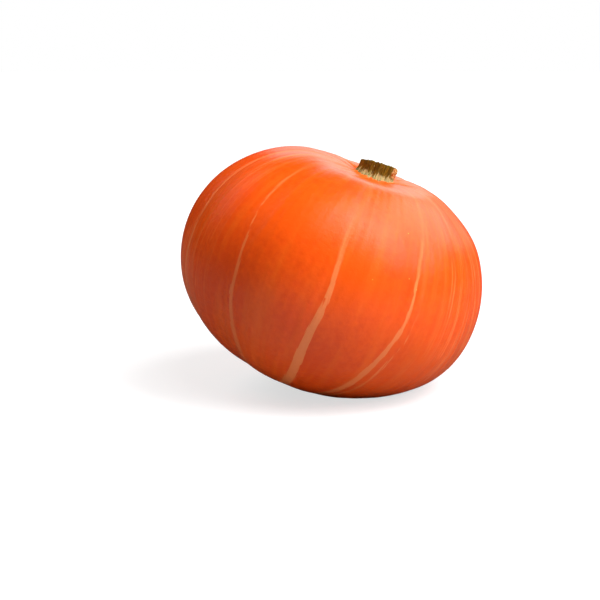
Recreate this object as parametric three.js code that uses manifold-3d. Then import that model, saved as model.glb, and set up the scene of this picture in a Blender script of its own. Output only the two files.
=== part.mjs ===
// A whole orange-red winter squash with its cut corky stem, leaning on the flat spot it ripened on.
// Millimetres, +Z up. The fruit is shaped upright in its own frame, with its axis along +Z, its widest
// level at z = 0 and azimuth 0 towards -Y, and is then leaned over. The origin is the middle of its foot.

import * as THREE from "three";
import { mergeVertices } from "three/addons/utils/BufferGeometryUtils.js";
import Module from "manifold-3d";

const wasm = await Module();
wasm.setup();

// Fruit: sizes at the widest level, and above and below it
const fruitRadius = 98;
const crownHeight = 67.9; // up to the seat of the stem
const baseDepth = 70; // down to the blossom end
const crownShift = 2; // how far the seat of the stem lies to the +X side of the axis
const shoulderFullness = 2.54; // 2 gives an ellipse, more gives squarer shoulders
const baseFullness = 2.35;
const flankFullness = 2; // how upright the sides stand near the widest level

// Fruit: shallow dish round the stem, and dimple at the blossom end
const dishDepth = 9.5;
const dishRadius = 30.3;
const blossomDepth = 3;
const blossomRadius = 15;

// Fruit: grooves between the lobes, in degrees round from the front, spaced as unevenly as they grew
const grooveAzimuths = [-4, 27, 68, 106, 143, 181, 215, 252, 285, 317];
const grooveDepth = 1.3;
const grooveHalfWidth = 9;

// Fruit: shallow hollows that flatten the shoulder at the front, on the right and at the back. A share runs
// down the skin from 0 at the stem to 1 at the blossom end.
const hollows = [
  { azimuth: -15, halfTurn: 50, share: 0.113, halfShare: 0.05, depth: 4.7 },
  { azimuth: 88, halfTurn: 34, share: 0.2, halfShare: 0.07, depth: 2 },
  { azimuth: 202, halfTurn: 42, share: 0.15, halfShare: 0.06, depth: 2.9 },
];

// Foot: the flat spot on the ground
const leanDegrees = 21.5;
const footReach = 10; // how far the flat reaches past the point below the fruit's middle
const footRounding = 1.4; // height over which the flat runs out into the round

// Stem: a short stub, cut off at a slant
const stemRadius = 11.7;
const stemHeight = 8.9; // along the axis
const stemFlare = 1.5; // how much wider the foot of the stem is
const stemFlareHeight = 5;
const stemRimRounding = 0.9;
const stemCutDegrees = 12; // falling to the back
const stemCutSideDegrees = 4.5; // rising to the +X side
const stemRibCount = 14;
const stemRibDepth = 0.35;
const stemRoot = 5; // how far the stem's blank reaches into the crown before it is cut to fit
const seatClearance = 0.3; // gap between the crown and the stem's underside

// Fineness of the facets
const fruitSegments = 96;
const fruitRings = 40;
const stemSegments = 56;

const degree = Math.PI / 180;
const lean = leanDegrees * degree;

// Moves every vertex of a geometry to where place() puts it, after joining the seam and the poles.
function reshape(geometry, place) {
  geometry.deleteAttribute("normal");
  geometry.deleteAttribute("uv");
  const joined = mergeVertices(geometry);
  const points = joined.getAttribute("position");
  const point = new THREE.Vector3();
  for (let i = 0; i < points.count; i += 1) {
    place(point.fromBufferAttribute(points, i));
    points.setXYZ(i, point.x, point.y, point.z);
  }
  joined.computeVertexNormals();
  return joined;
}

// 1 at the middle azimuth, falling off to both sides as a bell.
function bell(azimuth, middle, halfWidth) {
  const away = ((azimuth - middle + 540) % 360) - 180;
  return Math.exp(-((away / halfWidth) ** 2));
}

// How deep the grooves are at an azimuth, from 0 on a lobe's back to 1 in a groove.
function grooveShare(azimuth) {
  return grooveAzimuths.reduce((sum, groove) => sum + bell(azimuth, groove, grooveHalfWidth), 0);
}

function hollowDepth(azimuth, share) {
  return hollows.reduce((sum, hollow) => {
    const along = Math.exp(-(((share - hollow.share) / hollow.halfShare) ** 2));
    return sum + hollow.depth * along * bell(azimuth, hollow.azimuth, hollow.halfTurn);
  }, 0);
}

// Takes a point of the unit sphere to the skin of the upright fruit: a superellipse turned about the axis,
// dished at the crown, dimpled at the blossom end and grooved between the lobes. Its ends are drawn to one
// side, and the hollows are pressed in.
function growSkin(point) {
  const across = Math.hypot(point.x, point.y);
  const azimuth = Math.atan2(point.x, -point.y) / degree;
  const above = point.z > 0;
  const radius = fruitRadius * across ** (2 / (above ? shoulderFullness : baseFullness));
  const rise = Math.abs(point.z) ** (2 / flankFullness);
  const crown = crownHeight + dishDepth * (1 - Math.exp(-((radius / dishRadius) ** 2)));
  const base = -baseDepth - blossomDepth * (1 - Math.exp(-((radius / blossomRadius) ** 2)));
  const height = (above ? crown : base) * rise;
  const size = 1 - (grooveDepth / fruitRadius) * across * grooveShare(azimuth);
  const turned = across > 0 ? (radius * size) / across : 0;
  point.set(point.x * turned, point.y * turned, height * size);
  point.x += crownShift * (point.z / crownHeight) ** 3;
  const fromPole = Math.asin(Math.min(radius / fruitRadius, 1)) / Math.PI;
  const depth = hollowDepth(azimuth, above ? fromPole : 1 - fromPole);
  point.addScaledVector(point.clone().normalize(), -depth);
}

// Presses the lowest part of the leaning fruit flat and rounds off the rim of the flat. The lowest part lies
// to one side of the fruit's middle, so the flat grows until it reaches past the point below that middle.
function pressFoot(geometry) {
  const down = new THREE.Vector3(Math.sin(lean), 0, -Math.cos(lean));
  const aside = new THREE.Vector3(Math.cos(lean), 0, Math.sin(lean));
  const points = geometry.getAttribute("position");
  const point = new THREE.Vector3();
  let edge = 0;
  for (let i = 0; i < points.count; i += 1) {
    point.fromBufferAttribute(points, i);
    if (point.dot(aside) < -footReach) {
      edge = Math.max(edge, point.dot(down));
    }
  }
  const ground = edge - footRounding;
  return reshape(geometry, (p) => {
    const height = ground - p.dot(down);
    const blend = Math.max(height + footRounding, 0) ** 2 / (4 * footRounding);
    const pressed = height > footRounding ? height : blend;
    p.addScaledVector(down, height - pressed);
  });
}

function fruitGeometry() {
  const ball = new THREE.SphereGeometry(1, fruitSegments, fruitRings);
  ball.rotateX(Math.PI / 2);
  return pressFoot(reshape(ball, growSkin));
}

// The stem before it is fitted to the crown, with its origin at the middle of its seat.
function stemBlank() {
  const footRadius = stemRadius + stemFlare;
  const outline = new THREE.Path();
  outline.moveTo(0, -stemRoot);
  outline.lineTo(footRadius, -stemRoot);
  outline.lineTo(footRadius, 0);
  outline.quadraticCurveTo(stemRadius, stemFlareHeight / 3, stemRadius, stemFlareHeight);
  outline.lineTo(stemRadius, stemHeight - stemRimRounding);
  outline.quadraticCurveTo(stemRadius, stemHeight, stemRadius - stemRimRounding, stemHeight);
  outline.lineTo(0, stemHeight);
  const turned = new THREE.LatheGeometry(outline.getPoints(4), stemSegments);
  turned.rotateX(Math.PI / 2);
  return reshape(turned, (p) => {
    const rib = (stemRibDepth / stemRadius) * Math.cos(stemRibCount * Math.atan2(p.y, p.x));
    const slant = p.x * Math.tan(stemCutSideDegrees * degree) - p.y * Math.tan(stemCutDegrees * degree);
    p.set(p.x * (1 + rib), p.y * (1 + rib), p.z + (slant * Math.max(p.z, 0)) / stemHeight);
  });
}

function toSolid(geometry) {
  const vertProperties = geometry.getAttribute("position").array;
  const triVerts = new Uint32Array(geometry.index.array);
  return new wasm.Manifold(new wasm.Mesh({ numProp: 3, vertProperties, triVerts }));
}

function fromSolid(solid) {
  const cut = solid.getMesh();
  const geometry = new THREE.BufferGeometry();
  geometry.setAttribute("position", new THREE.BufferAttribute(cut.vertProperties, 3));
  geometry.setIndex(new THREE.BufferAttribute(cut.triVerts, 1));
  geometry.computeVertexNormals();
  return geometry;
}

// The stem with its underside cut to the crown, the clearance above it.
function stemGeometry(skin) {
  const crown = skin.clone().translate(-crownShift, 0, seatClearance - crownHeight);
  return fromSolid(toSolid(stemBlank()).subtract(toSolid(crown)));
}

const fruit = new THREE.Mesh(
  fruitGeometry(),
  new THREE.MeshStandardMaterial({ color: 0xf05a14, roughness: 0.42, metalness: 0 }),
);
fruit.name = "fruit";

const stem = new THREE.Mesh(
  stemGeometry(fruit.geometry),
  new THREE.MeshStandardMaterial({ color: 0x6b5424, roughness: 0.9, metalness: 0 }),
);
stem.name = "stem";
stem.position.set(crownShift, 0, crownHeight);

const leaning = new THREE.Group();
leaning.rotation.y = lean;
leaning.add(fruit, stem);

// The whole stands on z = 0, with the middle of its box over the origin.
const pumpkin = new THREE.Group();
pumpkin.add(leaning);
const box = new THREE.Box3().setFromObject(pumpkin, true);
const middle = box.getCenter(new THREE.Vector3());
leaning.position.set(-middle.x, -middle.y, -box.min.z);

export default pumpkin;
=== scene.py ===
import math

import bpy
import numpy as np
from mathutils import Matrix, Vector


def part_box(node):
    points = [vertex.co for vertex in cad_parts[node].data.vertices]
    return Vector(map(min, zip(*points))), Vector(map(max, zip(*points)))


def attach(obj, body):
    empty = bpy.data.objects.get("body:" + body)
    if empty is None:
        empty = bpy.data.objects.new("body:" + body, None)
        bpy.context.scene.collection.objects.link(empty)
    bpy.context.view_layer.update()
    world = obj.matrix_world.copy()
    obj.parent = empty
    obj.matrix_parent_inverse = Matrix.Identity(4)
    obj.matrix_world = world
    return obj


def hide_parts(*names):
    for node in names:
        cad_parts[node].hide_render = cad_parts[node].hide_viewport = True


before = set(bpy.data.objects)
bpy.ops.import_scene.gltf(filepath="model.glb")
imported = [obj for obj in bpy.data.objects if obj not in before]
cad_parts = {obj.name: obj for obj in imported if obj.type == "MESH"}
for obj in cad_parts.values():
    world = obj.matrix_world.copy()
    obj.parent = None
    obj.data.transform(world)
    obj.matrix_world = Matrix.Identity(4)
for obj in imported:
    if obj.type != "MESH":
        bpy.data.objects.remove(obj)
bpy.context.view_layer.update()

mm = 0.001  # one millimetre in the scene's metres


def smoothRamp(value, low, high):
    # 0 below low, 1 above high, an s-curve between
    t = np.clip((value - low) / (high - low), 0.0, 1.0)
    return t * t * (3.0 - 2.0 * t)


def turnedAway(azimuth, middle):
    # signed degrees from middle to azimuth, the short way round
    return (azimuth - middle + 540.0) % 360.0 - 180.0


def ridgeNoise(turn, along, seed, waves, sway):
    # a sum of cosines round the axis, one for each count in waves. sway slides their phases along the axis.
    dice = np.random.default_rng(seed)
    total = np.zeros(np.broadcast(turn, along).shape)
    for count in waves:
        phase, first, second = dice.uniform(0.0, 2.0 * math.pi, 3)
        slide = sway * (np.sin(2.1 * along + first) + 0.5 * np.sin(5.3 * along + second))
        total += np.cos(count * turn + phase + slide)
    return total / math.sqrt(0.5 * len(waves))


def lumpNoise(points, seed, waveLength, terms):
    # a sum of plane waves in random directions, all near one wavelength: soft lumps in space
    dice = np.random.default_rng(seed)
    total = np.zeros(points.shape[:-1])
    for _ in range(terms):
        heading = dice.normal(size=3)
        heading *= 2.0 * math.pi / waveLength / np.linalg.norm(heading) * dice.uniform(0.7, 1.4)
        total += np.cos(points @ heading + dice.uniform(0.0, 2.0 * math.pi))
    return total / math.sqrt(0.5 * terms)


def grainOf(turn, along):
    # the direction from the axis and the place along it, so that streaks follow the growth of a piece
    return np.stack(np.broadcast_arrays(np.sin(turn), -np.cos(turn), along), axis=-1)


def closedSurface(name, grid, values, material):
    # grid holds rings of points from one pole to the other, and each pole ring is one point repeated. Quads
    # join the rings, and triangles close the two poles. values are attributes on the same grid.
    rings, columns = grid.shape[:2]
    inner = np.arange(1, 1 + (rings - 2) * columns).reshape(rings - 2, columns)
    right = np.roll(inner, -1, axis=1)
    last = inner[-1, -1] + 1
    quads = np.stack([inner[:-1], inner[1:], right[1:], right[:-1]], axis=-1).reshape(-1, 4)
    topFan = np.stack([np.zeros(columns, int), inner[0], right[0]], axis=-1)
    bottomFan = np.stack([inner[-1], np.full(columns, last), right[-1]], axis=-1)

    # the map's u runs round the axis and its v from pole to pole
    step = np.arange(columns) / columns
    nextStep = step + 1.0 / columns
    middle = 0.5 * (step + nextStep)
    level = 1.0 - np.arange(rings) / (rings - 1)
    quadU = np.tile(np.stack([step, step, nextStep, nextStep], axis=-1), (rings - 3, 1))
    quadV = np.stack([level[1:-2], level[2:-1], level[2:-1], level[1:-2]], axis=-1)
    mapU = [np.stack([middle, step, nextStep], axis=-1), quadU, np.stack([step, middle, nextStep], axis=-1)]
    mapV = [
        np.tile([level[0], level[1], level[1]], (columns, 1)),
        np.repeat(quadV, columns, axis=0),
        np.tile([level[-2], level[-1], level[-2]], (columns, 1)),
    ]
    flatMap = np.stack([np.concatenate([part.ravel() for part in side]) for side in (mapU, mapV)], axis=-1)

    def pick(array):
        body = array[1:-1].reshape((rings - 2) * columns, -1)
        ends = [array[i].reshape(columns, -1).mean(axis=0, keepdims=True) for i in (0, -1)]
        return np.concatenate([ends[0], body, ends[1]]).astype(np.float32)

    corners = np.concatenate([topFan.ravel(), quads.ravel(), bottomFan.ravel()])
    sides = np.concatenate([np.full(columns, 3), np.full(len(quads), 4), np.full(columns, 3)])
    mesh = bpy.data.meshes.new(name)
    points = pick(grid)
    mesh.vertices.add(len(points))
    mesh.vertices.foreach_set("co", points.ravel())
    mesh.loops.add(len(corners))
    mesh.loops.foreach_set("vertex_index", corners.astype(np.int32))
    mesh.polygons.add(len(sides))
    mesh.polygons.foreach_set("loop_start", (np.cumsum(sides) - sides).astype(np.int32))
    mesh.update(calc_edges=True)
    mesh.shade_smooth()
    mesh.uv_layers.new(name="OFBake").data.foreach_set("uv", flatMap.astype(np.float32).ravel())
    for key, array in values.items():
        kind, slot = ("FLOAT_VECTOR", "vector") if array.ndim == 3 else ("FLOAT", "value")
        mesh.attributes.new(key, kind, "POINT").data.foreach_set(slot, pick(array).ravel())
    mesh.materials.append(material)
    piece = bpy.data.objects.new(name, mesh)
    bpy.context.scene.collection.objects.link(piece)
    return piece


def newMaterial(name):
    material = bpy.data.materials.new(name)
    material.use_nodes = True
    return material, material.node_tree.nodes, material.node_tree.links


def addNode(nodes, kind, at, **settings):
    node = nodes.new(kind)
    node.location = at
    for key, value in settings.items():
        setattr(node, key, value)
    return node


def feed(links, value, socket):
    # a socket takes a link or a plain value, and None leaves it alone
    if isinstance(value, bpy.types.NodeSocket):
        links.new(value, socket)
    elif value is not None:
        socket.default_value = value


def newGroup(name, inputs, outputs):
    tree = bpy.data.node_groups.new(name, "ShaderNodeTree")
    for label, kind, value in inputs:
        socket = tree.interface.new_socket(label, in_out="INPUT", socket_type=kind)
        if value is not None:
            socket.default_value = value
    for label in outputs:
        tree.interface.new_socket(label, in_out="OUTPUT", socket_type="NodeSocketFloat")
    enter = addNode(tree.nodes, "NodeGroupInput", (-900, 0))
    leave = addNode(tree.nodes, "NodeGroupOutput", (700, 0))
    return tree, tree.nodes, tree.links, enter, leave


def useGroup(nodes, links, tree, at, **values):
    node = addNode(nodes, "ShaderNodeGroup", at, node_tree=tree)
    for key, value in values.items():
        feed(links, value, node.inputs[key])
    return node


def readValue(nodes, name, at, output="Fac"):
    return addNode(nodes, "ShaderNodeAttribute", at, attribute_name=name).outputs[output]


def calc(nodes, links, operation, at, first, second, third=None):
    node = addNode(nodes, "ShaderNodeMath", at, operation=operation)
    for socket, value in zip(node.inputs, (first, second, third)):
        feed(links, value, socket)
    return node.outputs[0]


def fade(nodes, links, at, value, low, high, toLow=0.0, toHigh=1.0):
    # an s-curve from toLow at low to toHigh at high
    node = addNode(nodes, "ShaderNodeMapRange", at, interpolation_type="SMOOTHSTEP")
    for socket, number in zip(node.inputs, (value, low, high, toLow, toHigh)):
        feed(links, number, socket)
    return node.outputs["Result"]


def addShare(nodes, links, at, base, value, share):
    # base plus a share of the value
    return calc(nodes, links, "MULTIPLY_ADD", at, value, share, base)


def spread(nodes, links, at, value, width):
    # a value between 0 and 1 becomes one between half a width below 0 and half a width above
    return calc(nodes, links, "MULTIPLY_ADD", at, value, width, -0.5 * width)


def mixColour(nodes, links, at, share, first, second):
    # a Mix node has sockets of every kind in one row, and these are the factor and the two colours
    node = addNode(nodes, "ShaderNodeMix", at, data_type="RGBA")
    for number, value in ((0, share), (6, first), (7, second)):
        feed(links, value, node.inputs[number])
    return node.outputs[2]


def noise(nodes, links, at, place, scale, detail):
    node = addNode(nodes, "ShaderNodeTexNoise", at)
    for label, value in (("Vector", place), ("Scale", scale), ("Detail", detail)):
        feed(links, value, node.inputs[label])
    return node.outputs[0]


def stretched(nodes, links, at, place, amount):
    node = addNode(nodes, "ShaderNodeVectorMath", at, operation="MULTIPLY")
    feed(links, place, node.inputs[0])
    feed(links, amount, node.inputs[1])
    return node.outputs[0]


def addBump(nodes, links, at, strength, distance, height, shader):
    bump = addNode(nodes, "ShaderNodeBump", at)
    bump.inputs["Strength"].default_value = strength
    bump.inputs["Distance"].default_value = distance
    links.new(height, bump.inputs["Height"])
    links.new(bump.outputs[0], shader.inputs["Normal"])


# streaks along the grain: noise squeezed across the grain and drawn out along it, in two sizes, of which
# the finer counts for less
def streakGroup():
    tree, nodes, links, enter, leave = newGroup(
        "grainStreaks",
        [
            ("Grain", "NodeSocketVector", None),
            ("Across", "NodeSocketFloat", 20.0),
            ("Along", "NodeSocketFloat", 4.0),
            ("Low", "NodeSocketFloat", 0.45),
            ("High", "NodeSocketFloat", 0.7),
        ],
        ["Mask", "Relief"],
    )
    amount = addNode(nodes, "ShaderNodeCombineXYZ", (-700, -120))
    for socket, label in zip(amount.inputs, ("Across", "Across", "Along")):
        links.new(enter.outputs[label], socket)
    drawn = stretched(nodes, links, (-520, 0), enter.outputs["Grain"], amount.outputs[0])
    broad = noise(nodes, links, (-320, 120), drawn, 1.0, 2.0)
    fine = noise(nodes, links, (-320, -160), drawn, 2.9, 3.0)
    fineShare = calc(nodes, links, "MULTIPLY", (-120, -160), fine, 0.4)
    both = addShare(nodes, links, (40, 0), fineShare, broad, 0.6)
    mask = fade(nodes, links, (260, 0), both, enter.outputs["Low"], enter.outputs["High"])
    links.new(mask, leave.inputs["Mask"])
    links.new(both, leave.inputs["Relief"])
    return tree


# small scattered spots: the round middles of cells, of which a random share is kept
def speckGroup():
    tree, nodes, links, enter, leave = newGroup(
        "smallSpecks",
        [
            ("Place", "NodeSocketVector", None),
            ("Scale", "NodeSocketFloat", 400.0),
            ("Size", "NodeSocketFloat", 0.25),
            ("Share", "NodeSocketFloat", 0.5),
        ],
        ["Mask"],
    )
    cells = addNode(nodes, "ShaderNodeTexVoronoi", (-500, 120))
    links.new(enter.outputs["Place"], cells.inputs["Vector"])
    links.new(enter.outputs["Scale"], cells.inputs["Scale"])
    near = calc(nodes, links, "DIVIDE", (-300, 120), cells.outputs["Distance"], enter.outputs["Size"])
    spot = fade(nodes, links, (-120, 120), near, 1.0, 0.55)
    draw = addNode(nodes, "ShaderNodeSeparateColor", (-300, -120))
    links.new(cells.outputs["Color"], draw.inputs[0])
    kept = calc(nodes, links, "LESS_THAN", (-120, -120), draw.outputs[0], enter.outputs["Share"])
    links.new(calc(nodes, links, "MULTIPLY", (80, 0), spot, kept), leave.inputs["Mask"])
    return tree


grainStreaks = streakGroup()
smallSpecks = speckGroup()
print("shader groups built")


# the fruit's skin, shaped upright in millimetres: axis along +Z, widest level at 0, azimuths in degrees
# from the front towards +X. A share runs down the skin, from 0 at the stem to 1 at the blossom end.
fruit = {
    "radius": 98.0,
    "crownHeight": 67.9,
    "baseDepth": 70.0,
    "crownShift": 2.0,  # how far the stem's seat lies to the +X side
    "shoulderFullness": 2.54,
    "baseFullness": 2.35,
    "flankFullness": 2.0,
    "dishDepth": 9.5,
    "dishRadius": 30.3,
    "blossomDepth": 3.0,
    "blossomRadius": 15.0,
    "grooveAzimuths": [-4, 27, 68, 106, 143, 181, 215, 252, 285, 317],
    "grooveShares": [0.8, 0.8, 1.2, 0.9, 1.2, 0.85, 1.1, 1.2, 1.3, 1.7],  # of the groove depth
    "grooveDepth": 1.3,
    "grooveHalfWidth": 9.0,
    # shoulder hollows: azimuth and its half width, share and its half width, depth
    "hollows": [
        (-15.0, 50.0, 0.113, 0.05, 4.7),
        (88.0, 34.0, 0.20, 0.07, 2.0),
        (202.0, 42.0, 0.15, 0.06, 2.9),
    ],
    # narrow creases that run out from the stem
    "creaseAzimuths": [94, 128, 152, 183, 212, 243, 268],
    "creaseDepth": 0.8,
    "creaseHalfWidth": 3.5,
    "creaseStart": 14.0,  # full depth up to this radius
    "creaseReach": 11.0,
    "lean": 21.5,
    "footReach": 10.0,  # how far the flat reaches past the point below the middle
    "footRounding": 1.4,
    "lumpHeight": 0.5,
    "lumpLength": 85.0,
    "lumpWaves": 14,
    "foldHeight": 0.45,
    "foldStart": 13.0,
    "foldReach": 16.0,
    "rippleHeight": 0.06,
    "scarHeight": 1.1,
    "scarRadius": 4.2,
    "scarRagged": 0.12,  # of its height
    "starReach": 28.0,  # the dark star's radius on the backs of the lobes
    "starTips": 16.0,  # how much further it runs along the grooves
    "starTipHalfWidth": 6.5,
    "starRagged": 2.2,
    # the fine pale lines, partly real streaks and partly painted sheen, fade in between these azimuths to
    # either side of the front, where a trace is left
    "linesAndSheenRight": (28.0, 50.0),
    "linesAndSheenLeft": (50.0, 61.0),
    "linesAndSheenFront": 0.02,
    "columns": 520,
    "rings": 180,
}

# pale stripes: azimuth at the widest level, degrees of drift from stem to blossom end, half width, the
# share down the skin at which it turns crisp, and how strongly it shows
stripes = [
    (-4.5, 1.0, 2.0, 0.42, 1.0),
    (25.0, -13.0, 1.5, 0.39, 0.9),
    (29.0, -6.0, 0.8, 0.50, 0.7),
    (68.0, 5.0, 1.3, 0.28, 0.8),
    (105.0, -6.0, 2.0, 0.30, 1.0),
    (111.0, 4.0, 0.7, 0.36, 0.7),
    (144.0, 8.0, 1.6, 0.33, 0.9),
    (181.0, -7.0, 2.2, 0.30, 1.0),
    (216.0, 6.0, 1.2, 0.34, 0.8),
    (251.0, -5.0, 1.9, 0.28, 1.0),
    (257.0, 4.0, 0.8, 0.40, 0.7),
    (286.0, 5.0, 1.3, 0.26, 0.8),
    (320.0, 22.0, 1.2, 0.30, 0.65),
]

# how every stripe runs: faint and soft at the stem, narrower where it turns crisp, and then wider downwards
stripeRun = {
    "appears": (0.03, 0.14),
    "crispAround": (-0.14, 0.05),  # shares before and after the one at which it turns crisp
    "faintStrength": 0.22,
    "faintWidth": 0.75,
    "narrowing": 0.2,
    "widening": 0.95,
    "widestAt": 0.68,
    "faintEdge": 2.0,  # millimetres over which the edge fades
    "crispEdge": 0.3,
    "wander": 0.8,
}


def profile(share):
    # the radius is a sine of the share, and the height follows the superellipse
    # (radius / widest) ^ fullness + (height / full height) ^ flank fullness = 1
    level = np.sin(math.pi * share)
    above = share < 0.5
    fullness = np.where(above, fruit["shoulderFullness"], fruit["baseFullness"])
    rise = np.clip(1.0 - level**fullness, 0.0, 1.0) ** (1.0 / fruit["flankFullness"])
    radius = fruit["radius"] * level
    dish = fruit["dishDepth"] * (1.0 - np.exp(-((radius / fruit["dishRadius"]) ** 2)))
    dimple = fruit["blossomDepth"] * (1.0 - np.exp(-((radius / fruit["blossomRadius"]) ** 2)))
    height = np.where(above, fruit["crownHeight"] + dish, -fruit["baseDepth"] - dimple) * rise
    return radius, height, level ** (0.5 * fullness)


def creaseAt(azimuth, radius, share):
    # 1 in a crease at the stem, fading out along it and to its sides
    away = turnedAway(azimuth[..., None], np.array(fruit["creaseAzimuths"], float))
    sides = np.exp(-((away / fruit["creaseHalfWidth"]) ** 2)).sum(axis=-1)
    past = np.clip(radius - fruit["creaseStart"], 0.0, None)
    return sides * np.exp(-past / fruit["creaseReach"]) * (share < 0.5)


def uprightSkin():
    # the profile turned about the axis, with its size cut by the grooves, then moved along its own outward
    # direction by the sum of all reliefs
    share = np.linspace(0.0, 1.0, fruit["rings"])[:, None]
    turn = np.linspace(0.0, 2.0 * math.pi, fruit["columns"], endpoint=False)[None, :]
    azimuth = np.degrees(turn) + 0.0 * share
    radius, height, across = profile(share)

    # grooves scale the skin inwards, each a bell across its azimuth
    away = turnedAway(azimuth[..., None], np.array(fruit["grooveAzimuths"], float))
    bells = np.exp(-((away / fruit["grooveHalfWidth"]) ** 2)) * np.array(fruit["grooveShares"])
    size = 1.0 - fruit["grooveDepth"] / fruit["radius"] * across * bells.sum(axis=-1)
    points = np.stack([radius * np.sin(turn) * size, -radius * np.cos(turn) * size, height * size], axis=-1)
    points[..., 0] += fruit["crownShift"] * (points[..., 2] / fruit["crownHeight"]) ** 3

    # soft lumps, the hollows, short folds and creases at the stem, ripples along the grain, and the scar
    outward = points / np.linalg.norm(points, axis=-1, keepdims=True)
    swell = fruit["lumpHeight"] * lumpNoise(points, 11, fruit["lumpLength"], fruit["lumpWaves"])
    for middle, halfTurn, level, halfShare, depth in fruit["hollows"]:
        aside = turnedAway(azimuth, middle) / halfTurn
        swell -= depth * np.exp(-(aside**2) - ((share - level) / halfShare) ** 2)
    pastStem = np.clip(radius - fruit["foldStart"], 0.0, None)
    nearStem = np.exp(-pastStem / fruit["foldReach"]) * (share < 0.5)
    swell += fruit["foldHeight"] * nearStem * ridgeNoise(turn, share * 3.0, 12, [13, 17, 22, 27, 31], 0.5)
    swell -= fruit["creaseDepth"] * creaseAt(azimuth, radius, share)
    swell += fruit["rippleHeight"] * across * ridgeNoise(turn, share * 3.0, 13, [41, 53, 67, 79, 90], 1.6)
    scar = fruit["scarHeight"] * np.exp(-((radius / fruit["scarRadius"]) ** 4)) * (share > 0.5)
    ragged = fruit["scarRagged"] * ridgeNoise(turn, radius * 0.3, 14, [3, 5, 8, 13], 1.0)
    swell += scar * (1.0 + ragged * smoothRamp(radius, 0.5, 3.0))
    return share, turn, azimuth, radius, points + outward * swell[..., None]


def leaned(points):
    # turned about the Y axis, so that the crown leans to the +X side
    lean = math.radians(fruit["lean"])
    turned = points.copy()
    turned[..., 0] = points[..., 0] * math.cos(lean) + points[..., 2] * math.sin(lean)
    turned[..., 2] = points[..., 2] * math.cos(lean) - points[..., 0] * math.sin(lean)
    return turned


def pressFoot(points):
    # the leaning skin is pressed flat from below until the flat reaches past the point under its middle,
    # and the flat runs out into the round through a quadratic
    rounding = fruit["footRounding"]
    ground = points[..., 2][points[..., 0] < -fruit["footReach"]].min() + rounding
    over = points[..., 2] - ground
    blend = np.clip(over + rounding, 0.0, None) ** 2 / (4.0 * rounding)
    pressed = points.copy()
    pressed[..., 2] = ground + np.where(over > rounding, over, blend)
    return pressed, over


share, turn, azimuth, radius, upright = uprightSkin()
standing, overGround = pressFoot(leaned(upright))

# the skin's box is centred over the box of the CAD fruit, with its foot on the same ground
lowCorner, highCorner = (np.array(corner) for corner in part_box("fruit"))
skinLow, skinHigh = standing.min(axis=(0, 1)), standing.max(axis=(0, 1))
moveBy = 0.5 * (lowCorner + highCorner) - 0.5 * (skinLow + skinHigh) * mm
moveBy[2] = lowCorner[2] - skinLow[2] * mm


def placed(points):
    # from upright millimetres to metres in the frame
    return leaned(points) * mm + moveBy


def stripeValues():
    # for the nearest stripe: millimetres outside its edge, how soft that edge is, and how strongly it shows
    middle, drift, halfWidth, start, strength = np.array(stripes).T
    down = share[..., None] + 0.0 * azimuth[..., None]
    off = turnedAway(azimuth[..., None], middle + drift * (down - 0.5))
    wander = stripeRun["wander"] * ridgeNoise(share * 9.0, 0.0 * share, 21, [1, 2, 3], 0.0)
    before, after = stripeRun["crispAround"]
    crisp = smoothRamp(down, start + before, start + after)
    widening = stripeRun["widening"] * smoothRamp(down, start, stripeRun["widestAt"])
    width = halfWidth * (stripeRun["faintWidth"] - stripeRun["narrowing"] * crisp + widening)
    outside = np.abs(np.radians(off) * radius[..., None] + wander[..., None]) - width
    nearest = outside.argmin(axis=-1)[..., None]
    faint = stripeRun["faintStrength"]
    shown = strength * (faint + (1.0 - faint) * crisp) * smoothRamp(down, *stripeRun["appears"])
    soft = stripeRun["faintEdge"] + (stripeRun["crispEdge"] - stripeRun["faintEdge"]) * crisp
    return [np.take_along_axis(array, nearest, axis=-1)[..., 0] for array in (outside, soft, shown)]


def skinValues():
    # what the material reads at each point. star and scar are millimetres inside their edges, and -60
    # stands for far outside.
    outside, soft, shown = stripeValues()
    away = turnedAway(azimuth[..., None], np.array(fruit["grooveAzimuths"], float))
    tips = np.exp(-((np.abs(away).min(axis=-1) / fruit["starTipHalfWidth"]) ** 2))
    ragged = fruit["starRagged"] * ridgeNoise(turn, share, 22, [7, 11, 19, 26, 37, 58], 0.3)
    reach = fruit["starReach"] + fruit["starTips"] * tips + ragged
    aside = turnedAway(azimuth, 0.0)
    sides = smoothRamp(aside, *fruit["linesAndSheenRight"]) + smoothRamp(-aside, *fruit["linesAndSheenLeft"])
    everyPoint = 0.0 * azimuth  # adding it spreads one value or ring over the whole grid
    low = share > 0.5
    return {
        "stripe": outside,
        "stripeSoft": soft,
        "stripeShare": shown,
        "grain": grainOf(turn, share),
        "linesAndSheen": fruit["linesAndSheenFront"] + (1.0 - fruit["linesAndSheenFront"]) * sides,
        # where painted shade goes in the creases at the stem
        "creaseShade": creaseAt(azimuth, radius, share),
        "star": np.where(low, reach - radius, -60.0),
        "scar": np.where(low, fruit["scarRadius"] - radius, -60.0) + everyPoint,
        "ground": overGround,
    }


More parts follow.
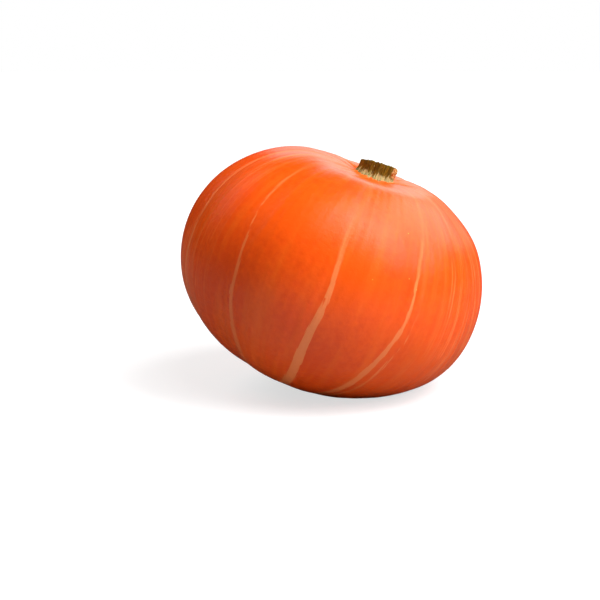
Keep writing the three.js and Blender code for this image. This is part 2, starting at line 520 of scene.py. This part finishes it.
skinLook = {
    "deep": (0.80, 0.064, 0.001, 1.0),
    "bright": (0.87, 0.086, 0.001, 1.0),
    "band": (0.90, 0.130, 0.006, 1.0),
    # partly real pale streaks and partly painted sheen: a pinkish white laid on the sides and the back
    "lineAndSheen": (0.96, 0.215, 0.060, 1.0),
    "stripe": (0.90, 0.215, 0.058, 1.0),
    # painted shade: the dark brown laid into the creases at the stem
    "creaseShade": (0.34, 0.055, 0.010, 1.0),
    "starLeaf": (0.028, 0.030, 0.013, 1.0),
    "starEdge": (0.11, 0.075, 0.012, 1.0),
    "starLine": (0.19, 0.155, 0.060, 1.0),
    "scar": (0.27, 0.150, 0.062, 1.0),
    "scarDark": (0.09, 0.045, 0.020, 1.0),
    "ground": (0.86, 0.36, 0.085, 1.0),
    "speck": (0.93, 0.42, 0.06, 1.0),
    # how strongly each shows over the colours below it
    "bandShare": 0.42,
    "lineAndSheenShare": 0.52,
    "threadShare": 0.32,
    "groundShare": 0.6,
    "creaseShadeShare": 0.7,
    "starLineShare": 0.8,
    "speckShare": 0.7,
    # patterns: a larger scale is finer
    "patchScale": 17.0,
    "mottleScale": 330.0,
    "mottleWeight": 0.55,  # beside the patches
    "patchRange": (0.62, 0.94),
    "crumbScale": 900.0,
    "crumbRange": (0.42, 0.60),
    "bands": {"Across": 8.0, "Along": 2.2, "Low": 0.46, "High": 0.66},
    "lines": {"Across": 30.0, "Along": 2.6, "Low": 0.54, "High": 0.61},
    "threads": {"Across": 60.0, "Along": 4.5, "Low": 0.52, "High": 0.63},
    "stripeSteps": (62.0, 62.0, 30.0),
    "specks": {"Scale": 230.0, "Size": 0.10, "Share": 0.05},
    "pores": {"Scale": 950.0, "Size": 0.42, "Share": 0.5},
    # how far edges stray, and where they fade, in millimetres from their own line
    "stripeStray": 1.1,
    "stripeFray": 2.4,
    "starJag": 16.0,
    "scarCrumbs": 2.0,
    "groundFade": (5.0, -3.0),
    "starEdgeFade": (-3.0, 0.8),
    "starFade": (-0.4, 2.2),
    "starLineFade": (0.4, -1.0),
    "scarFade": (0.4, 1.6),
    # roughness of the wax, and what duller places add
    "roughness": 0.33,
    "roughnessSpread": 0.10,
    "stripeDull": 0.05,
    "groundDull": 0.25,
    "scarDull": 0.35,
    # relief too fine for the mesh, in shares of the bump's height in metres
    "bump": 0.45,
    "bumpHeight": 0.0004,
    "lineRelief": 0.6,
    "poreRelief": -0.15,
    "crumbRelief": 2.5,
}


def skinMaterial(look):
    material, nodes, links = newMaterial("waxyRind")
    shader = nodes["Principled BSDF"]
    shader.location = (1700, 0)
    place = addNode(nodes, "ShaderNodeTexCoord", (-1900, -500)).outputs["Object"]
    grain = readValue(nodes, "grain", (-1900, 300), "Vector")
    stripe = readValue(nodes, "stripe", (-1900, 100))
    stripeSoft = readValue(nodes, "stripeSoft", (-1900, -50))
    stripeShare = readValue(nodes, "stripeShare", (-1900, -200))
    star = readValue(nodes, "star", (-1900, -350))
    linesAndSheen = readValue(nodes, "linesAndSheen", (-1500, -120))
    ground = readValue(nodes, "ground", (-700, -500))
    creaseShade = readValue(nodes, "creaseShade", (-300, -350))
    scar = readValue(nodes, "scar", (-300, -1000))

    # the flesh colour: large soft patches and a fine mottle
    patches = noise(nodes, links, (-1500, 900), place, look["patchScale"], 3.0)
    mottle = noise(nodes, links, (-1500, 700), place, look["mottleScale"], 3.0)
    patchy = addShare(nodes, links, (-1300, 800), patches, mottle, look["mottleWeight"])
    brightShare = fade(nodes, links, (-1100, 800), patchy, *look["patchRange"])
    colour = mixColour(nodes, links, (-900, 800), brightShare, look["deep"], look["bright"])

    # wide faint bands everywhere, and fine pale lines and threads on the sides and the back: real streaks,
    # lightened towards pinkish white with painted sheen there
    bands = useGroup(nodes, links, grainStreaks, (-1500, 500), Grain=grain, **look["bands"])
    lines = useGroup(nodes, links, grainStreaks, (-1500, 280), Grain=grain, **look["lines"])
    threads = useGroup(nodes, links, grainStreaks, (-1500, 60), Grain=grain, **look["threads"])
    bandShare = calc(nodes, links, "MULTIPLY", (-1200, 500), bands.outputs["Mask"], look["bandShare"])
    colour = mixColour(nodes, links, (-700, 700), bandShare, colour, look["band"])
    lineAndSheenShare = calc(nodes, links, "MULTIPLY", (-1200, 280), lines.outputs["Mask"], linesAndSheen)
    lineAndSheenShare = calc(nodes, links, "MULTIPLY", (-1000, 280), lineAndSheenShare, look["lineAndSheenShare"])
    colour = mixColour(nodes, links, (-500, 650), lineAndSheenShare, colour, look["lineAndSheen"])
    # the threads take the same colour of pale streak and painted sheen
    threadShare = calc(nodes, links, "MULTIPLY", (-1200, 60), threads.outputs["Mask"], linesAndSheen)
    threadShare = calc(nodes, links, "MULTIPLY", (-1000, 60), threadShare, look["threadShare"])
    colour = mixColour(nodes, links, (-300, 600), threadShare, colour, look["lineAndSheen"])

    # stripes: their edges step sideways along the grain and fray into threads
    steps = addNode(nodes, "ShaderNodeTexVoronoi", (-1500, -300))
    links.new(stretched(nodes, links, (-1700, -300), grain, look["stripeSteps"]), steps.inputs["Vector"])
    steps.inputs["Scale"].default_value = 1.0
    stepDraw = addNode(nodes, "ShaderNodeSeparateColor", (-1300, -300))
    links.new(steps.outputs["Color"], stepDraw.inputs[0])
    stray = spread(nodes, links, (-1100, -300), stepDraw.outputs[0], look["stripeStray"])
    fray = spread(nodes, links, (-900, -300), threads.outputs["Relief"], look["stripeFray"])
    stepped = calc(nodes, links, "ADD", (-900, -150), stripe, stray)
    edge = calc(nodes, links, "ADD", (-700, -300), stepped, fray)
    softened = calc(nodes, links, "DIVIDE", (-500, -150), edge, stripeSoft)
    inStripe = fade(nodes, links, (-300, -150), softened, 1.0, -1.0)
    inStripe = calc(nodes, links, "MULTIPLY", (-100, -150), inStripe, stripeShare)
    colour = mixColour(nodes, links, (-100, 550), inStripe, colour, look["stripe"])

    # the ground spot is paler with no sharp edge, and the creases at the stem get painted shade, a dark
    # brown
    groundShare = fade(nodes, links, (-500, -500), ground, *look["groundFade"], 0.0, look["groundShare"])
    colour = mixColour(nodes, links, (100, 500), groundShare, colour, look["ground"])
    creaseShadeShare = fade(nodes, links, (-100, -350), creaseShade, 0.35, 1.0, 0.0, look["creaseShadeShare"])
    colour = mixColour(nodes, links, (300, 450), creaseShadeShare, colour, look["creaseShade"])

    # the blossom end: a dark star with a jagged edge, and olive lines on it where the stripes run
    jag = spread(nodes, links, (-900, -700), threads.outputs["Relief"], look["starJag"])
    jagged = calc(nodes, links, "ADD", (-700, -700), star, jag)
    starEdge = fade(nodes, links, (-500, -700), jagged, *look["starEdgeFade"])
    inStar = fade(nodes, links, (-500, -900), jagged, *look["starFade"])
    colour = mixColour(nodes, links, (500, 400), starEdge, colour, look["starEdge"])
    colour = mixColour(nodes, links, (700, 350), inStar, colour, look["starLeaf"])
    starLine = fade(nodes, links, (-100, -600), edge, *look["starLineFade"])
    starLine = calc(nodes, links, "MULTIPLY", (100, -600), starLine, inStar)
    starLine = calc(nodes, links, "MULTIPLY", (300, -600), starLine, look["starLineShare"])
    colour = mixColour(nodes, links, (900, 300), starLine, colour, look["starLine"])

    # its corky scar, and a few pale specks all over
    crumbs = noise(nodes, links, (-500, -1150), place, look["crumbScale"], 4.0)
    crumbShare = fade(nodes, links, (-100, -1200), crumbs, *look["crumbRange"])
    scarShade = mixColour(nodes, links, (100, -1100), crumbShare, look["scarDark"], look["scar"])
    crumbled = addShare(nodes, links, (-100, -1000), scar, crumbs, look["scarCrumbs"])
    inScar = fade(nodes, links, (100, -950), crumbled, *look["scarFade"])
    colour = mixColour(nodes, links, (1100, 250), inScar, colour, scarShade)
    specks = useGroup(nodes, links, smallSpecks, (700, -300), Place=place, **look["specks"])
    speckShare = calc(nodes, links, "MULTIPLY", (900, -300), specks.outputs["Mask"], look["speckShare"])
    colour = mixColour(nodes, links, (1300, 200), speckShare, colour, look["speck"])
    links.new(colour, shader.inputs["Base Color"])

    # roughness: a satin wax, duller on the stripes, the ground spot and the scar
    dull = calc(nodes, links, "MULTIPLY", (500, -700), inStripe, look["stripeDull"])
    dull = addShare(nodes, links, (700, -700), dull, groundShare, look["groundDull"])
    dull = addShare(nodes, links, (900, -700), dull, inScar, look["scarDull"])
    uneven = spread(nodes, links, (1100, -650), mottle, look["roughnessSpread"])
    waxy = calc(nodes, links, "ADD", (1300, -650), uneven, look["roughness"])
    links.new(calc(nodes, links, "ADD", (1500, -650), waxy, dull), shader.inputs["Roughness"])

    # relief: the mottle, the lines, pores, and crumbs on the scar
    pores = useGroup(nodes, links, smallSpecks, (500, -1000), Place=place, **look["pores"])
    scarCrumbs = calc(nodes, links, "MULTIPLY", (900, -1150), crumbs, inScar)
    height = addShare(nodes, links, (700, -1000), mottle, lines.outputs["Relief"], look["lineRelief"])
    height = addShare(nodes, links, (900, -1000), height, pores.outputs["Mask"], look["poreRelief"])
    height = addShare(nodes, links, (1100, -1000), height, scarCrumbs, look["crumbRelief"])
    addBump(nodes, links, (1300, -900), look["bump"], look["bumpHeight"], height, shader)
    return material


rind = closedSurface("rind", standing * mm + moveBy, skinValues(), skinMaterial(skinLook))
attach(rind, "root")
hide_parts("fruit")
print("rind:", len(rind.data.polygons), "faces")


# the cut stem, upright, in millimetres from the middle of its seat on the crown
stub = {
    "radius": 11.6,
    "height": 9.0,
    "flare": 1.4,
    "flareHeight": 5.0,
    "rimRounding": 0.6,
    "cut": 12.0,  # degrees that the cut falls to the back
    "cutSide": 4.5,  # and rises to the +X side
    "cutHollow": 0.6,
    "sunk": 4.5,
    "ribHeight": 0.26,
    "fibreHeight": 0.13,
    "crackDepth": 0.35,
    # the cut's rays, year rings and chipped rim
    "rayHeight": 0.16,
    "ringHeight": 0.14,
    "ringTurns": 2.6,  # radians of wave in each millimetre
    "chipHeight": 0.2,
    "chipsFrom": 8.0,
    "knobHeight": 0.9,
    "knobAzimuth": 62.0,
    "knobHalfWidth": 17.0,
    "knobLevel": 0.70,  # share of the height
    "knobHalfLevel": 0.34,
    "knobRagged": 0.25,
    "columns": 420,
    "underRows": 12,
    "sideRows": 62,
    "rimRows": 12,
    "cutRows": 54,
}


def stubOutline():
    # radius and height along the outline: under the foot, up the flared side, over the rim, across the cut.
    # onCut is 0 on the side and 1 on the cut.
    under = np.linspace(0.0, 1.0, stub["underRows"])
    side = np.linspace(0.0, 1.0, stub["sideRows"])[1:]
    rim = np.linspace(0.0, 0.5 * math.pi, stub["rimRows"])[1:]
    cut = np.linspace(1.0, 0.0, stub["cutRows"])[1:]
    rounding = stub["rimRounding"]
    top = stub["height"] - rounding
    rise = -stub["sunk"] + side * (top + stub["sunk"])
    flare = stub["flare"] * np.clip(1.0 - np.clip(rise, 0.0, None) / stub["flareHeight"], 0.0, 1.0) ** 2
    outRadius = np.concatenate([
        (stub["radius"] + stub["flare"]) * under,
        stub["radius"] + flare,
        stub["radius"] - rounding * (1.0 - np.cos(rim)),
        (stub["radius"] - rounding) * cut,
    ])
    height = np.concatenate([
        np.full(len(under), -stub["sunk"]),
        rise,
        top + rounding * np.sin(rim),
        stub["height"] - stub["cutHollow"] * (1.0 - cut**4),
    ])
    onCut = np.concatenate([
        np.zeros(len(under) + len(side)),
        np.linspace(0.0, 1.0, len(rim)),
        np.ones(len(cut)),
    ])
    return outRadius[:, None], height[:, None], onCut[:, None]


def stubSurface():
    # the outline turned about the axis and swollen by ribs, fibres and a knob, less the cracks. Its height
    # also rises with a slant, which is all there at the cut and fades out down to the seat.
    outline, height, onCut = stubOutline()
    radius = stub["radius"]
    turn = np.linspace(0.0, 2.0 * math.pi, stub["columns"], endpoint=False)[None, :]
    upShare = np.clip(height / stub["height"], -0.2, 1.0)
    side = (1.0 - onCut) * smoothRamp(outline, 0.5 * radius, 0.9 * radius)
    ribs = stub["ribHeight"] * ridgeNoise(turn, upShare, 31, [11, 14, 16, 19], 0.35) * (1.2 - 0.6 * upShare)
    fibres = stub["fibreHeight"] * ridgeNoise(turn, upShare * 2.0, 32, [37, 46, 58, 73, 91], 0.9)
    cracks = stub["crackDepth"] * smoothRamp(ridgeNoise(turn, upShare, 33, [9, 23, 41, 52], 0.5), 1.0, 2.2)
    aside = turnedAway(np.degrees(turn), stub["knobAzimuth"]) / stub["knobHalfWidth"]
    knob = np.exp(-(aside**2) - ((upShare - stub["knobLevel"]) / stub["knobHalfLevel"]) ** 2)
    ragged = stub["knobRagged"] * ridgeNoise(turn, upShare * 6.0, 36, [29, 44, 61], 2.0)
    bulge = stub["knobHeight"] * knob * (1.0 + ragged)
    swell = (ribs + fibres - cracks + bulge) * side
    rim = (0.25 * ribs + 0.5 * fibres + bulge) * smoothRamp(outline, 0.75 * radius, radius) * onCut
    out = outline + swell + rim
    x, y = out * np.sin(turn), -out * np.cos(turn)
    slant = x * math.tan(math.radians(stub["cutSide"])) - y * math.tan(math.radians(stub["cut"]))

    # the cut's own relief: rays, year rings that aren't quite round, and a chipped rim
    rays = stub["rayHeight"] * ridgeNoise(turn, outline * 0.15, 34, [12, 19, 27, 38, 51], 0.6)
    rings = stub["ringHeight"] * np.cos(outline * stub["ringTurns"] + 0.6 * np.sin(3.0 * turn))
    chips = stub["chipHeight"] * ridgeNoise(turn, 0.0 * outline, 35, [5, 9, 17, 29, 44], 0.0)
    rays = rays * smoothRamp(outline, 1.0, 5.0)
    rings = rings * smoothRamp(outline, 0.5, 3.0)
    chips = chips * smoothRamp(outline, stub["chipsFrom"], radius)
    z = height + slant * np.clip(upShare, 0.0, 1.0) + (rays + rings + chips) * onCut
    points = np.stack([x + fruit["crownShift"], y, z + fruit["crownHeight"]], axis=-1)
    everyPoint = 0.0 * out
    values = {
        "grain": grainOf(turn, upShare),
        "upShare": upShare + everyPoint,
        "onCut": onCut + everyPoint,
        "fromMiddle": outline / radius + everyPoint,
        "knob": knob,
    }
    return placed(points)[::-1], {key: array[::-1] for key, array in values.items()}


stubLook = {
    "dark": (0.098, 0.060, 0.002, 1.0),
    "fibre": (0.240, 0.155, 0.006, 1.0),
    "foot": (0.47, 0.42, 0.18, 1.0),
    "footGreen": (0.15, 0.16, 0.035, 1.0),
    "knob": (0.40, 0.110, 0.015, 1.0),
    "knobPale": (0.70, 0.46, 0.18, 1.0),
    "cutPale": (0.42, 0.31, 0.15, 1.0),
    "cutDark": (0.16, 0.10, 0.035, 1.0),
    "threadShare": 0.5,
    "knobShare": 0.85,
    # patterns: a larger scale is finer
    "fibres": {"Across": 12.0, "Along": 1.0, "Low": 0.42, "High": 0.62},
    "threads": {"Across": 24.0, "Along": 1.6, "Low": 0.42, "High": 0.62},
    "flakeScale": 700.0,
    "flakeRange": (0.47, 0.57),
    "specks": {"Scale": 420.0, "Size": 0.16, "Share": 0.25},
    "grit": {"Scale": 1500.0, "Size": 0.45, "Share": 0.5},
    # the pale foot's upper edge and how ragged it is, in shares of the height
    "footFade": (0.37, 0.27),
    "footRagged": 1.3,
    "rimFade": (0.55, 0.95),  # shares of the radius over which the cut darkens
    "roughness": 0.85,
    "roughnessSpread": 0.1,
    # relief too fine for the mesh, in shares of the bump's height in metres
    "bump": 0.8,
    "bumpHeight": 0.0006,
    "flakeRelief": 0.6,
    "gritRelief": -0.3,
}


def stubMaterial(look):
    material, nodes, links = newMaterial("corkyStem")
    shader = nodes["Principled BSDF"]
    shader.location = (1500, 0)
    place = addNode(nodes, "ShaderNodeTexCoord", (-1500, -500)).outputs["Object"]
    grain = readValue(nodes, "grain", (-1500, 200), "Vector")
    upShare = readValue(nodes, "upShare", (-1500, 0))
    onCut = readValue(nodes, "onCut", (-1500, -150))
    knob = readValue(nodes, "knob", (-1500, -300))
    fromMiddle = readValue(nodes, "fromMiddle", (-1500, -400))

    # dark cork with lighter fibres, and darker threads over them
    fibres = useGroup(nodes, links, grainStreaks, (-1200, 350), Grain=grain, **look["fibres"])
    threads = useGroup(nodes, links, grainStreaks, (-1200, 100), Grain=grain, **look["threads"])
    colour = mixColour(nodes, links, (-800, 400), fibres.outputs["Mask"], look["dark"], look["fibre"])
    threadShare = calc(nodes, links, "MULTIPLY", (-1000, 100), threads.outputs["Mask"], look["threadShare"])
    colour = mixColour(nodes, links, (-600, 400), threadShare, colour, look["dark"])

    # the pale foot: its ragged upper edge follows the threads
    ragged = spread(nodes, links, (-1000, -50), threads.outputs["Relief"], look["footRagged"])
    level = calc(nodes, links, "ADD", (-800, -50), upShare, ragged)
    inFoot = fade(nodes, links, (-600, -50), level, *look["footFade"])
    inFibre = fibres.outputs["Mask"]
    footShade = mixColour(nodes, links, (-600, 200), inFibre, look["foot"], look["footGreen"])
    colour = mixColour(nodes, links, (-350, 350), inFoot, colour, footShade)

    # the knob: reddish brown, broken up by pale flakes
    flakes = noise(nodes, links, (-1200, -700), place, look["flakeScale"], 3.0)
    flake = fade(nodes, links, (-1000, -700), flakes, *look["flakeRange"])
    knobShade = mixColour(nodes, links, (-800, -700), flake, look["knob"], look["knobPale"])
    knobShare = fade(nodes, links, (-800, -300), knob, 0.22, 0.6, 0.0, look["knobShare"])
    colour = mixColour(nodes, links, (-100, 300), knobShare, colour, knobShade)

    # the cut face: pale pith, darker towards the rim and along the threads
    rimDark = fade(nodes, links, (-600, -450), fromMiddle, *look["rimFade"])
    pith = mixColour(nodes, links, (-350, -450), rimDark, look["cutPale"], look["cutDark"])
    pith = mixColour(nodes, links, (-100, -450), threadShare, pith, look["cutDark"])
    cutShare = fade(nodes, links, (-350, -250), onCut, 0.5, 1.0)
    colour = mixColour(nodes, links, (200, 250), cutShare, colour, pith)

    # a few pale specks
    specks = useGroup(nodes, links, smallSpecks, (0, -100), Place=place, **look["specks"])
    colour = mixColour(nodes, links, (450, 200), specks.outputs["Mask"], colour, look["knobPale"])
    links.new(colour, shader.inputs["Base Color"])

    # rough all over, with relief from the threads, flakes and grit
    uneven = spread(nodes, links, (600, -300), threads.outputs["Mask"], look["roughnessSpread"])
    rough = calc(nodes, links, "ADD", (800, -300), uneven, look["roughness"])
    links.new(rough, shader.inputs["Roughness"])
    grit = useGroup(nodes, links, smallSpecks, (-1200, -950), Place=place, **look["grit"])
    height = addShare(nodes, links, (300, -700), threads.outputs["Relief"], flakes, look["flakeRelief"])
    height = addShare(nodes, links, (500, -700), height, grit.outputs["Mask"], look["gritRelief"])
    addBump(nodes, links, (900, -600), look["bump"], look["bumpHeight"], height, shader)
    return material


stubGrid, stubValues = stubSurface()
stemStub = closedSurface("stemStub", stubGrid, stubValues, stubMaterial(stubLook))
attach(stemStub, "root")
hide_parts("stem")
print("stem stub:", len(stemStub.data.polygons), "faces")


# floor, sky, light and camera, in metres where no other unit is given
studio = {
    "floorSize": 8.0,
    "floorSeen": (0.42, 0.42, 0.42, 1.0),
    "floorGlow": 0.66,  # up to the first distance, rising to 1 at the second
    "glowReach": (0.25, 1.1),
    "floorBounce": (0.45, 0.45, 0.45, 1.0),
    "floorGloss": (0.06, 0.06, 0.06, 1.0),
    "skySeen": 1.0,
    "skyFill": 0.165,
    "cameraHeight": 12.0,  # degrees
    "distance": 0.910,
    # in millimetres, with the aim beside and below the fruit's middle
    "lens": 85.0,
    "sensorWidth": 36.0,
    "lookLeft": 20.0,
    "lookDown": 16.4,
}

# round softboxes: azimuth from the front towards +X and height in degrees, distance and width in metres,
# watts, and whether the matt light and the gloss show them
softboxes = {
    "frontBox": (30.0, 60.0, 1.2, 0.8, 6.5, True, False),
    "rightBox": (60.0, 35.0, 1.2, 0.8, 12.5, True, False),
    "highBox": (75.0, 60.0, 1.2, 0.8, 12.0, True, False),
    "backFill": (-130.0, 38.0, 1.2, 0.8, 6.8, True, False),
    "sheenBox": (82.0, 44.0, 1.2, 1.15, 3.9, False, True),
    "sideBox": (118.0, 36.0, 1.2, 0.8, 2.8, False, True),
    "rimBox": (143.0, 25.0, 1.2, 0.9, 1.4, False, True),
    "backBox": (173.0, 25.0, 1.2, 0.7, 1.5, False, True),
}


def makeFloor():
    # looked at, the paper is white and takes soft shadows. As a bounce it is dimmer, most of all in gloss.
    half = studio["floorSize"] / 2.0
    mesh = bpy.data.meshes.new("floor")
    corners = [(-half, -half, 0.0), (half, -half, 0.0), (half, half, 0.0), (-half, half, 0.0)]
    mesh.from_pydata(corners, [], [(0, 1, 2, 3)])
    material, nodes, links = newMaterial("floorPaper")
    nodes.remove(nodes["Principled BSDF"])
    path = addNode(nodes, "ShaderNodeLightPath", (-600, 400))
    inGloss = path.outputs["Is Glossy Ray"]
    dimmed = mixColour(nodes, links, (-400, 150), inGloss, studio["floorBounce"], studio["floorGloss"])
    bounce = addNode(nodes, "ShaderNodeBsdfDiffuse", (-200, 100))
    links.new(dimmed, bounce.inputs["Color"])
    seen = addNode(nodes, "ShaderNodeBsdfDiffuse", (-400, -100))
    seen.inputs["Color"].default_value = studio["floorSeen"]
    place = addNode(nodes, "ShaderNodeTexCoord", (-1000, -250)).outputs["Object"]
    reach = addNode(nodes, "ShaderNodeVectorMath", (-800, -250), operation="LENGTH")
    links.new(place, reach.inputs[0])
    near, far = studio["glowReach"]
    strength = fade(nodes, links, (-600, -250), reach.outputs["Value"], near, far, studio["floorGlow"], 1.0)
    glow = addNode(nodes, "ShaderNodeEmission", (-400, -250))
    links.new(strength, glow.inputs["Strength"])
    both = addNode(nodes, "ShaderNodeAddShader", (-200, -150))
    links.new(seen.outputs[0], both.inputs[0])
    links.new(glow.outputs[0], both.inputs[1])
    mixed = addNode(nodes, "ShaderNodeMixShader", (50, 0))
    links.new(path.outputs["Is Camera Ray"], mixed.inputs[0])
    links.new(bounce.outputs[0], mixed.inputs[1])
    links.new(both.outputs[0], mixed.inputs[2])
    links.new(mixed.outputs[0], nodes["Material Output"].inputs["Surface"])
    mesh.materials.append(material)
    floor = bpy.data.objects.new("floor", mesh)
    bpy.context.scene.collection.objects.link(floor)


def aimed(name, data, spot, target):
    thing = bpy.data.objects.new(name, data)
    thing.location = spot
    thing.rotation_euler = (Vector(target) - Vector(spot)).to_track_quat("-Z", "Y").to_euler()
    bpy.context.scene.collection.objects.link(thing)
    return thing


def around(middle, azimuthDegrees, heightDegrees, distance):
    # a spot seen from the middle at an azimuth from the front towards +X, and a height above level
    side, up = math.radians(azimuthDegrees), math.radians(heightDegrees)
    way = Vector((math.sin(side) * math.cos(up), -math.cos(side) * math.cos(up), math.sin(up)))
    return middle + way * distance


def makeSky():
    # white where it is seen, an even fill for matt light, and dark in the gloss
    world = bpy.data.worlds.new("studio")
    bpy.context.scene.world = world
    world.use_nodes = True
    nodes, links = world.node_tree.nodes, world.node_tree.links
    path = addNode(nodes, "ShaderNodeLightPath", (-700, 200))
    fill = calc(nodes, links, "MULTIPLY", (-500, 0), path.outputs["Is Diffuse Ray"], studio["skyFill"])
    inView = path.outputs["Is Camera Ray"]
    strength = addShare(nodes, links, (-300, 100), fill, inView, studio["skySeen"])
    background = nodes["Background"]
    background.inputs["Color"].default_value = (1.0, 1.0, 1.0, 1.0)
    links.new(strength, background.inputs["Strength"])


def makeLights(middle):
    for name, values in softboxes.items():
        azimuthDegrees, heightDegrees, distance, width, watts, matt, gloss = values
        lamp = bpy.data.lights.new(name, "AREA")
        lamp.shape = "DISK"
        lamp.size = width
        lamp.energy = watts
        box = aimed(name, lamp, around(middle, azimuthDegrees, heightDegrees, distance), middle)
        box.visible_diffuse = matt
        box.visible_glossy = gloss


def makeCamera(middle):
    height = studio["cameraHeight"]
    up = math.radians(height)
    target = middle + Vector((-studio["lookLeft"], 0.0, 0.0)) * mm
    target -= Vector((0.0, math.sin(up), math.cos(up))) * studio["lookDown"] * mm
    data = bpy.data.cameras.new("camera")
    data.lens = studio["lens"]
    data.sensor_width = studio["sensorWidth"]
    spot = around(target, 0.0, height, studio["distance"])
    bpy.context.scene.camera = aimed("camera", data, spot, target)


bpy.context.scene.view_settings.view_transform = "Standard"
fruitMiddle = Vector(placed(np.zeros((1, 3)))[0])
makeFloor()
makeSky()
makeLights(fruitMiddle)
makeCamera(fruitMiddle)
print("studio built around", tuple(round(value, 4) for value in fruitMiddle))
